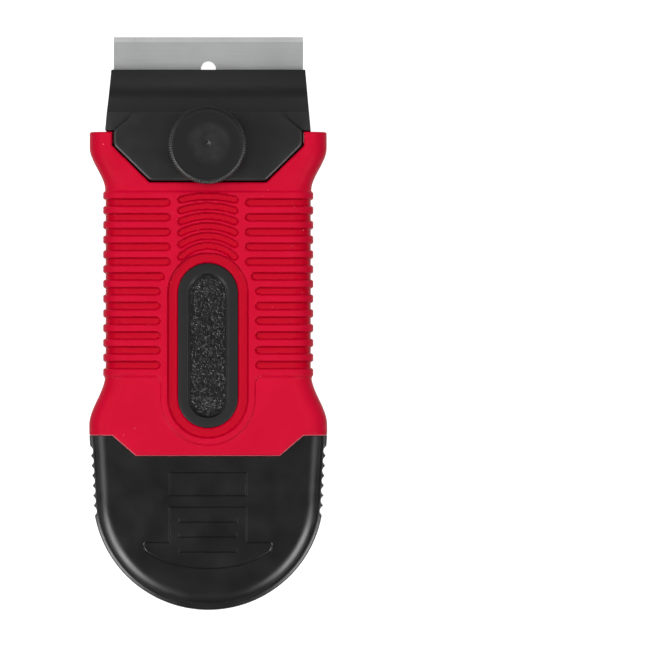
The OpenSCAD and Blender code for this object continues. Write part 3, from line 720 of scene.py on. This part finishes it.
def make_knob(material):
    """The knob: a toothed rim, a small bevel, a shallow dish with the broken-off gate's mark, and
    a socket for the screw's head"""
    low, high, face = KNOB_LOW[2], KNOB_HIGH[2], KNOB_HIGH[2] - KNOB_RIM
    dish_r, tooth_points = 3.8, 8
    rim = rounded([(KNOB_R - 0.6, low), (KNOB_R, low + 0.4), (KNOB_R, high - 0.36)], 0.16)
    crown = rounded([
        (KNOB_R - 0.1, high - 0.3), (KNOB_R - 0.34, high - 0.27), (KNOB_R - 0.82, high - 0.03),
        (KNOB_R - 1.3, face), (KNOB_R - 2.0, face),
    ], 0.1)
    dish = rounded([
        (dish_r + 1.2, face), (dish_r + 0.6, face), (dish_r - 1.0, KNOB_FLOOR), (0.5, KNOB_FLOOR),
    ], 0.7)
    profile = [(KNOB_R - 1.5, low), *rim, (KNOB_R - 0.04, high - 0.32), *crown, *dish]
    rings = [at_height(circle(r, KNOB_TEETH * tooth_points, KNOB_Y), z) for r, z in profile]
    knob = stacked("knob_body", rings)
    sizes = {
        "Centre": KNOB_Y, "Radius": KNOB_R, "Teeth": KNOB_TEETH, "Depth": TOOTH_DEPTH, "Fade": 0.7,
    }
    grown(knob, knob_teeth_tree, sizes, material)
    star_size, sunk, proud = 1.2, 0.3, 0.25
    star = np.array([
        (0.75, 0.1), (0.2, 0.16), (-0.28, 0.7), (-0.2, 0.1),
        (-0.62, -0.3), (-0.05, -0.16), (0.18, -0.72), (0.2, -0.1),
    ]) * star_size + [GATE_X, GATE_Y]
    peak = star * 0.2 + star.mean(0) * 0.8
    levels = [(star, KNOB_FLOOR - sunk), (star, KNOB_FLOOR), (peak, KNOB_FLOOR + proud)]
    gate = stacked("gate_mark", [at_height(outline, z) for outline, z in levels])
    combined(knob, gate, "UNION")
    head_af, head_h = 7.1, 2.85
    head_r = head_af / 2 / np.cos(np.radians(30))
    cut(knob, prism("head_socket", circle(head_r, 6, KNOB_Y), low - PAST, low + head_h))
    return shaded(knob)


def pad_outline(inset):
    """The pad's eight-sided plan with small round corners, drawn in by an inset"""
    corner_x, corner_y, corner_r = 4.3, 3.7, 0.7
    points = both_sides([
        (PAD_REAR_X, PAD_REAR), (PAD_HW, PAD_SIDE_Y), (PAD_HW, PAD_FRONT - corner_y),
        (PAD_HW - corner_x, PAD_FRONT),
    ])
    ahead = headings(points)
    inward = np.column_stack([-ahead[:, 1], ahead[:, 0]])
    before = np.roll(inward, 1, axis=0)
    mitre = (inward + before) / (1 + np.einsum("ij,ij->i", inward, before))[:, None]
    drawn_in = list(points + mitre * inset)
    return rounded([drawn_in[-1], *drawn_in, drawn_in[0]], corner_r)[1:-1]


def make_jaw(material):
    """The upper jaw: a nose that sweeps up to the raised pad, over the blade's pocket"""
    base, top, front, back = JAW_LOW[2], JAW_HIGH[2], JAW_HIGH[1], HORN_TOP + 0.25
    front_hw, back_hw = 19.5, JAW_HIGH[0]
    nose_z, bend_z, bend_in = 8.8, 10.2, 4.7
    rise = rounded([(front, nose_z), (front - bend_in, bend_z), (PAD_FRONT, HANDLE_T)], 1.8, 10)
    section = [(back, base), (front, base), *rise, (PAD_FRONT - 0.12, HANDLE_T), (back, HANDLE_T)]
    y, z = np.array(section).T
    half_width = np.interp(y, [back, front], [back_hw, front_hw])
    jaw = stacked("jaw", [np.column_stack([side * half_width, y, z]) for side in (-1, 1)])
    bevel = jaw.modifiers.new("edges", "BEVEL")
    bevel.width, bevel.segments = 0.3 * MM, 3
    bevel.limit_method, bevel.angle_limit = "ANGLE", np.radians(35)
    plain(jaw)
    slope = 1.4
    profile = [(0, base)] + rounded([(0, top - slope), (0, top), (slope, top)], 0.6, 6)
    combined(jaw, stacked("pad", [at_height(pad_outline(inset), z) for inset, z in profile]), "UNION")
    pocket_hw, pocket_y, pocket_top = 19.7, SPINE_LOW[1] - 0.15, SPINE_HIGH[2] + 0.1
    pocket = both_sides([(pocket_hw, pocket_y), (pocket_hw, front + PAST)])
    screw_r, peg_r, peg_x, peg_y, peg_top = 2.2, 1.6, 13.0, KNOB_Y - 2.6, 9.4
    pegs = [circle(peg_r, 32, peg_y, side * peg_x) for side in (-1, 1)]
    cut(
        jaw,
        prism("pocket", pocket, base - PAST, pocket_top),
        prism("screw_hole", circle(screw_r, 48, KNOB_Y), base - PAST, top + PAST),
        *[prism("peg_hole", peg, base - PAST, peg_top) for peg in pegs],
    )
    paint(jaw, material)
    return shaded(jaw, 30)


# Materials

# A Mix node's inputs are its factor, 0, and its two colours, 6 and 7, or its two vectors, 4 and
# 5. Mould grain and grinding lines are finer on the real object than a render can show, and
# are drawn as coarse as they need to be.
GRAIN_DEPTH = 0.05


def linear(code):
    """A hex sRGB colour as a linear RGBA value"""
    parts = [int(code[i:i + 2], 16) / 255 for i in (1, 3, 5)]
    return [c / 12.92 if c <= 0.04045 else ((c + 0.055) / 1.055) ** 2.4 for c in parts] + [1.0]


def per_mm(size):
    """A texture's scale whose pattern repeats about once in that many millimetres"""
    return 1 / (size * MM)


def new_material(name, inputs):
    """A material of that name, and its tree, shader and object coordinates"""
    material = bpy.data.materials.new(name)
    material.use_nodes = True
    tree = material.node_tree
    shader = tree.nodes["Principled BSDF"]
    connect(tree, shader, inputs)
    return material, tree, shader, tree.nodes.new("ShaderNodeTexCoord").outputs["Object"]


def surface(tree, shader, colour, roughness, height, strength, depth=GRAIN_DEPTH):
    """Give a shader its colour, its roughness and a bump of that depth"""
    bump = add(tree, "ShaderNodeBump", {"Height": height, "Strength": strength, "Distance": depth * MM})
    connect(tree, shader, {"Base Color": colour, "Roughness": roughness, "Normal": bump})


def set_stops(ramp, *stops):
    """Give a colour ramp's two stops their positions and colours"""
    for element, (position, colour) in zip(ramp.color_ramp.elements, stops):
        element.position, element.color = position, linear(colour)


def cap_line_distance(tree, place):
    """Nodes for the distance in front of the line where the cap starts, as line_distance has it"""
    parts = add(tree, "ShaderNodeSeparateXYZ", {0: place}).outputs
    run = LINE_HORN_X - LINE_FLAT_X
    length = np.hypot(run, LINE_DROP)
    across = add(tree, MATH, {0: parts["X"]}, operation="ABSOLUTE")
    out = add(tree, MATH, {0: across, 1: LINE_FLAT_X * MM}, operation="SUBTRACT")
    fall = add(tree, MATH, {0: out, 1: -LINE_DROP / length}, operation="MULTIPLY")
    ahead = add(tree, MATH, {0: parts["Y"], 1: GRIP_END * MM}, operation="SUBTRACT")
    diagonal = add(tree, MATH, {0: ahead, 1: run / length, 2: fall}, operation="MULTIPLY_ADD")
    past = add(tree, MATH, {0: ahead, 1: LINE_DROP * MM}, operation="SUBTRACT")
    outer = add(tree, MATH, {0: diagonal, 1: past}, operation="MAXIMUM")
    return add(tree, MATH, {0: ahead, 1: outer}, operation="MINIMUM")


def soft_grip_red():
    """Moulded thermoplastic rubber: matt, with a fine mould grain, faint cloudiness in the red,
    glossier on the grooves' floors, which are painted a darker, purer red as painted shade for the
    sheen they lack, a pale thin edge along the cap, and a few specks of dust that the tacky skin holds"""
    material, tree, shader, place = new_material("moulded_soft_rubber_red", {
        "IOR": 1.5, "Specular IOR Level": 0.038,
    })
    cloud = add(tree, NOISE, {"Vector": place, "Scale": per_mm(7), "Detail": 3.0})
    tint = add(tree, "ShaderNodeValToRGB", {0: cloud})
    set_stops(tint, (0.3, "#c4062b"), (0.7, "#cb0a31"))
    polish_and_shade = add(tree, "ShaderNodeAttribute", attribute_name="polish_and_shade").outputs["Fac"]
    # Painted shade: the grooves' floors are painted a darker, purer red, for the sheen that the rib
    # tops catch and the floors lack
    shaded_floor_colour = add(tree, MIX, {0: polish_and_shade, 6: tint, 7: linear("#b80022")}, data_type="RGBA")
    edge = add(tree, MAP_RANGE, {
        "Value": cap_line_distance(tree, place),
        "From Min": 0.1 * MM, "From Max": 0.26 * MM, "To Min": 0.6, "To Max": 0.0,
    })
    edged = add(tree, MIX, {0: edge, 6: shaded_floor_colour, 7: linear("#e88490")}, data_type="RGBA")
    speck = add(tree, NOISE, {"Vector": place, "Scale": per_mm(0.45), "Detail": 1.0})
    sparse = add(tree, MAP_RANGE, {"Value": speck, "From Min": 0.79, "From Max": 0.84})
    dusty = add(tree, MIX, {0: sparse, 6: edged, 7: linear("#f0808c")}, data_type="RGBA")
    gloss = add(tree, MAP_RANGE, {"Value": polish_and_shade, "To Min": 0.42, "To Max": 0.3})
    grain = add(tree, NOISE, {"Vector": place, "Scale": per_mm(0.35), "Detail": 2.0})
    surface(tree, shader, dusty, gloss, grain, 0.12)
    return material


def moulded_black(name, colour, roughness, grain_mm, strength):
    """Moulded black plastic: a satin skin with the fine grain of a spark-eroded mould, a little
    paler and rougher in places"""
    material, tree, shader, place = new_material(name, {"IOR": 1.52})
    paler, swing = 1.25, 0.05
    worn = add(tree, NOISE, {"Vector": place, "Scale": per_mm(5), "Detail": 4.0})
    gloss = add(tree, MAP_RANGE, {
        "Value": worn, "From Min": 0.3, "From Max": 0.7,
        "To Min": roughness - swing, "To Max": roughness + swing,
    })
    tint = add(tree, MIX, {
        0: worn, 6: linear(colour), 7: [c * paler for c in linear(colour)[:3]] + [1.0],
    }, data_type="RGBA")
    grain = add(tree, NOISE, {"Vector": place, "Scale": per_mm(grain_mm), "Detail": 3.0})
    surface(tree, shader, tint, gloss, grain, strength)
    return material


def knob_black():
    """The knob's moulded ABS, with paler patches in its dish that are partly smudges and partly
    painted light on the dish, and a broken-off gate in the middle that is shiny and painted pale
    grey, partly stress whitening and partly a painted highlight for the light its facets catch"""
    material, tree, shader, place = new_material("moulded_abs_black_knob", {
        "IOR": 1.52, "Specular IOR Level": 0.4,
    })
    middle = (GATE_X * MM, GATE_Y * MM, KNOB_HIGH[2] * MM)
    off = add(tree, VECTOR_MATH, {0: place, 1: middle}, operation="SUBTRACT")
    distance = add(tree, VECTOR_MATH, {0: off}, operation="LENGTH")
    near = add(tree, MATH, {0: distance, 1: 1.3 * MM}, operation="LESS_THAN")
    height = add(tree, "ShaderNodeSeparateXYZ", {0: place}).outputs["Z"]
    above = add(tree, MAP_RANGE, {
        "Value": height, "From Min": (KNOB_FLOOR + 0.01) * MM, "From Max": (KNOB_FLOOR + 0.06) * MM,
    })
    gate = add(tree, MATH, {0: near, 1: above}, operation="MULTIPLY")
    # Paler patches over the dish: partly smudges, partly painted light on the dish
    patch_noise = add(tree, NOISE, {"Vector": place, "Scale": per_mm(2.6), "Detail": 3.0})
    patch = add(tree, MAP_RANGE, {"Value": patch_noise, "From Min": 0.35, "From Max": 0.65})
    dish = add(tree, MAP_RANGE, {"Value": distance, "From Min": 4.6 * MM, "From Max": 3.2 * MM})
    smudged_and_lit = add(tree, MATH, {0: patch, 1: dish}, operation="MULTIPLY")
    skin = add(tree, MIX, {0: smudged_and_lit, 6: linear("#111111"), 7: linear("#202020")}, data_type="RGBA")
    # Painted highlight: the gate mark is painted pale grey, partly stress whitening and partly the
    # light its facets catch
    tint = add(tree, MIX, {0: gate, 6: skin, 7: linear("#646464")}, data_type="RGBA")
    gloss = add(tree, MAP_RANGE, {"Value": gate, "To Min": 0.42, "To Max": 0.25})
    grain = add(tree, NOISE, {"Vector": place, "Scale": per_mm(0.3), "Detail": 3.0})
    surface(tree, shader, tint, gloss, grain, 0.25)
    return material


def badge_black():
    """The badge plate: a plain satin rim round a sandy, eroded recess that glitters"""
    material, tree, shader, place = new_material("moulded_abs_black_sandy_recess", {"IOR": 1.52})
    parts = add(tree, "ShaderNodeSeparateXYZ", {0: place}).outputs
    held = add(tree, "ShaderNodeClamp", {
        "Value": parts["Y"], "Min": BADGE_BACK * MM, "Max": BADGE_FRONT * MM,
    })
    off_y = add(tree, MATH, {0: parts["Y"], 1: held}, operation="SUBTRACT")
    flat = add(tree, "ShaderNodeCombineXYZ", {0: parts["X"], 1: off_y})
    distance = add(tree, VECTOR_MATH, {0: flat}, operation="LENGTH")
    recess = add(tree, MAP_RANGE, {"Value": distance, "From Min": 4.0 * MM, "From Max": 3.7 * MM})
    tint = add(tree, MIX, {0: recess, 6: linear("#050505"), 7: linear("#090909")}, data_type="RGBA")
    gloss = add(tree, MAP_RANGE, {"Value": recess, "To Min": 0.5, "To Max": 0.3})
    sand = add(tree, NOISE, {"Vector": place, "Scale": per_mm(0.2), "Detail": 2.0})
    height = add(tree, MATH, {0: sand, 1: recess}, operation="MULTIPLY")
    surface(tree, shader, tint, gloss, height, 0.5, 2 * GRAIN_DEPTH)
    return material


def blade_steel():
    """Carbon steel strip, rolled and then ground at the edge: fine lines along the blade, faint
    stains, and a bevel with lines of its own across it, painted paler as a painted highlight"""
    material, tree, shader, place = new_material("rolled_carbon_steel_ground_edge", {"Metallic": 0.75})
    parts = add(tree, "ShaderNodeSeparateXYZ", {0: place}).outputs
    bevel_w, turn_w, depth = 1.05, 0.1, 0.02
    ground = add(tree, MAP_RANGE, {
        "Value": parts["Y"],
        "From Min": (BLADE_EDGE - bevel_w) * MM, "From Max": (BLADE_EDGE - bevel_w + turn_w) * MM,
    })
    along = add(tree, VECTOR_MATH, {0: place, 1: (0.04, 1, 1)}, operation="MULTIPLY")
    across = add(tree, VECTOR_MATH, {0: place, 1: (1, 0.06, 1)}, operation="MULTIPLY")
    stretched = add(tree, MIX, {0: ground, 4: along, 5: across}, data_type="VECTOR")
    lines = add(tree, NOISE, {"Vector": stretched, "Scale": per_mm(0.3), "Detail": 3.0})
    shade = add(tree, MAP_RANGE, {
        "Value": lines, "From Min": 0.3, "From Max": 0.7, "To Min": 0.96, "To Max": 1.02,
    })
    stain = add(tree, NOISE, {"Vector": place, "Scale": per_mm(6), "Detail": 4.0})
    blotch = add(tree, MAP_RANGE, {
        "Value": stain, "From Min": 0.35, "From Max": 0.7, "To Min": 0.94, "To Max": 1.02,
    })
    both = add(tree, MATH, {0: shade, 1: blotch}, operation="MULTIPLY")
    # Painted highlight: the bevel's colour is paler than the strip's, for the light the bevel catches
    strip = add(tree, MIX, {0: ground, 6: linear("#babbbb"), 7: linear("#d0d0d0")}, data_type="RGBA")
    colour = add(tree, MIX, {0: 1.0, 6: strip, 7: both}, data_type="RGBA", blend_type="MULTIPLY")
    rough = add(tree, MAP_RANGE, {"Value": lines, "To Min": 0.42, "To Max": 0.55})
    surface(tree, shader, colour, rough, lines, 0.1, depth)
    return material


def zinc_steel(name, spangle_mm):
    """Zinc-coated steel: soft grey with an uneven spangle"""
    material, tree, shader, place = new_material(name, {"Metallic": 1.0})
    spangle = add(tree, "ShaderNodeTexVoronoi", {"Vector": place, "Scale": per_mm(spangle_mm)})
    cloud = add(tree, NOISE, {"Vector": place, "Scale": per_mm(spangle_mm * 2), "Detail": 4.0})
    mixed = add(tree, MIX, {
        0: 0.5, 6: spangle.outputs["Color"], 7: cloud.outputs["Color"],
    }, data_type="RGBA")
    tint = add(tree, "ShaderNodeValToRGB", {0: mixed})
    set_stops(tint, (0.25, "#9c9ea0"), (0.75, "#d4d5d4"))
    rough = add(tree, MAP_RANGE, {"Value": cloud, "To Min": 0.22, "To Max": 0.5})
    surface(tree, shader, tint, rough, cloud, 0.15)
    return material


# The object

rubber = soft_grip_red()
jaw_black = moulded_black("moulded_abs_black_jaws", "#141414", 0.42, 0.3, 0.3)
cap_black = moulded_black("moulded_abs_black_cap", "#0c0c0c", 0.34, 0.3, 0.2)
core_black = moulded_black("moulded_nylon_black_core", "#191919", 0.5, 0.3, 0.25)
plate_black = badge_black()
steel = blade_steel()
spine_zinc = zinc_steel("galvanised_steel_spine", 1.6)
bolt_zinc = zinc_steel("zinc_plated_steel_fastener", 0.8)

PIECES = [
    (make_grip(rubber), "handle", "grip_sleeve", "soft_grip"),
    (
        make_badge("badge", BADGE_HIGH[2], BADGE_LOW[2], plate_black),
        "handle", "front_badge", "black_plastic",
    ),
    (
        make_badge("badge_behind", BACK_BADGE_LOW[2], BACK_BADGE_HIGH[2], plate_black),
        "handle", "back_badge", "black_plastic",
    ),
    (make_cap(cap_black), "cap_assembly", "tail_cap", "black_plastic"),
    (make_knob(knob_black()), "knob_assembly", "knob", "black_plastic"),
    (make_jaw(jaw_black), "jaw_assembly", "upper_jaw", "black_plastic"),
]
for piece, body, node, slot in PIECES:
    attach(piece, body)
    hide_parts(node)

for name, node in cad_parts.items():
    if name.startswith("core"):
        paint(node, core_black)
    elif name == "blade" or name.startswith("spare_blade"):
        paint(node, steel)
    elif name == "blade_spine" or name.startswith("spare_spine"):
        paint(node, spine_zinc)
    elif name in ("clamp_screw", "knob_washer", "jaw_nut"):
        paint(node, bolt_zinc)


# Floor, light and camera

def rays_to(tree):
    """Whether a ray comes from the camera, and whether it was mirrored or bent on its way"""
    rays = add(tree, "ShaderNodeLightPath").outputs
    mirrored = add(tree, MATH, {
        0: rays["Is Glossy Ray"], 1: rays["Is Transmission Ray"],
    }, operation="MAXIMUM")
    return rays["Is Camera Ray"], mirrored


def floor():
    """A plain pale floor, white to the camera except where the object shades it. What mirrors it
    sees the white round the object, and the dim floor further off"""
    half, low, white = 1500.0, -0.05, 0.92
    corners = [(-half, -half, low), (half, -half, low), (half, half, low), (-half, half, low)]
    plane = mesh_object("floor", corners, [(0, 1, 2, 3)])
    material, tree, shader, place = new_material("matt_white_floor", {
        "Base Color": linear("#b4b4b4"), "Roughness": 0.9, "Specular IOR Level": 0.0,
    })
    to_camera, mirrored = rays_to(tree)
    away = add(tree, VECTOR_MATH, {0: place}, operation="LENGTH")
    near = add(tree, MAP_RANGE, {
        "Value": away, "From Min": 60 * MM, "From Max": 130 * MM, "To Min": 1.0, "To Max": 0.0,
    })
    mirrored = add(tree, MATH, {0: mirrored, 1: near}, operation="MULTIPLY")
    seen = add(tree, MATH, {0: to_camera, 1: mirrored}, operation="MAXIMUM")
    strength = add(tree, MATH, {0: seen, 1: white}, operation="MULTIPLY")
    glow = add(tree, "ShaderNodeEmission", {"Strength": strength})
    both = add(tree, "ShaderNodeAddShader", {0: shader, 1: glow})
    connect(tree, tree.nodes["Material Output"], {"Surface": both})
    plane.data.materials.append(material)


def soft_box(name, place, aim, size, watts, mirrored=True, lighting=True):
    """A rectangular soft box at a place, turned to a point, all in millimetres. One that isn't
    mirrored lights the surfaces without showing in them, and one that isn't lighting is seen
    in their gloss alone"""
    light = bpy.data.lights.new(name, "AREA")
    light.shape, light.energy = "RECTANGLE", watts
    light.size, light.size_y = size[0] * MM, size[1] * MM
    lamp = bpy.data.objects.new(name, light)
    lamp.location = Vector(place) * MM
    lamp.rotation_euler = (Vector(aim) - Vector(place)).to_track_quat("-Z", "Y").to_euler()
    lamp.visible_camera = False
    lamp.visible_glossy = mirrored
    lamp.visible_diffuse = lighting
    bpy.context.scene.collection.objects.link(lamp)


def lights():
    """Soft boxes round the object, in a room that is white to the camera and dim to the object"""
    soft_box("canopy", (0, -30, 600), (0, 0, 0), (480, 480), 3.25, mirrored=False)
    soft_box("key", (-330, 110, 330), (0, 40, 0), (260, 260), 0.6)
    soft_box("fill", (330, 110, 300), (0, 40, 0), (260, 260), 0.28)
    soft_box("tail_left", (-310, -240, 290), (0, -50, 0), (230, 240), 2.0, lighting=False)
    soft_box("tail_right", (310, -240, 290), (0, -50, 0), (230, 240), 1.7, lighting=False)
    soft_box("jaw_glow", (0, 400, 480), (0, 40, 0), (320, 160), 0.2)
    soft_box("low_front", (0, 520, 90), (0, 40, 0), (420, 120), 0.03)
    world = bpy.data.worlds.new("studio")
    world.use_nodes = True
    tree = world.node_tree
    to_camera, mirrored = rays_to(tree)
    room = add(tree, MAP_RANGE, {"Value": mirrored, "To Min": 0.08, "To Max": 0.1})
    strength = add(tree, MATH, {0: to_camera, 1: room}, operation="MAXIMUM")
    connect(tree, tree.nodes["Background"], {"Color": (1, 1, 1, 1), "Strength": strength})
    bpy.context.scene.world = world


def camera():
    """The photograph's view: straight down, with the scraper at the left of the frame"""
    picture_px, px_per_mm = 645, 4.98
    centre_x, centre_y, height, sharp_z = 22.95, 0.18, 1500, 10
    data = bpy.data.cameras.new("camera")
    data.sensor_width = 36
    data.lens = data.sensor_width * (height - sharp_z) / (picture_px / px_per_mm)
    data.clip_start, data.clip_end = 0.01, 10
    eye = bpy.data.objects.new("camera", data)
    eye.location = (centre_x * MM, centre_y * MM, height * MM)
    bpy.context.scene.collection.objects.link(eye)
    bpy.context.scene.camera = eye


floor()
lights()
camera()
bpy.context.scene.view_settings.view_transform = "Standard"
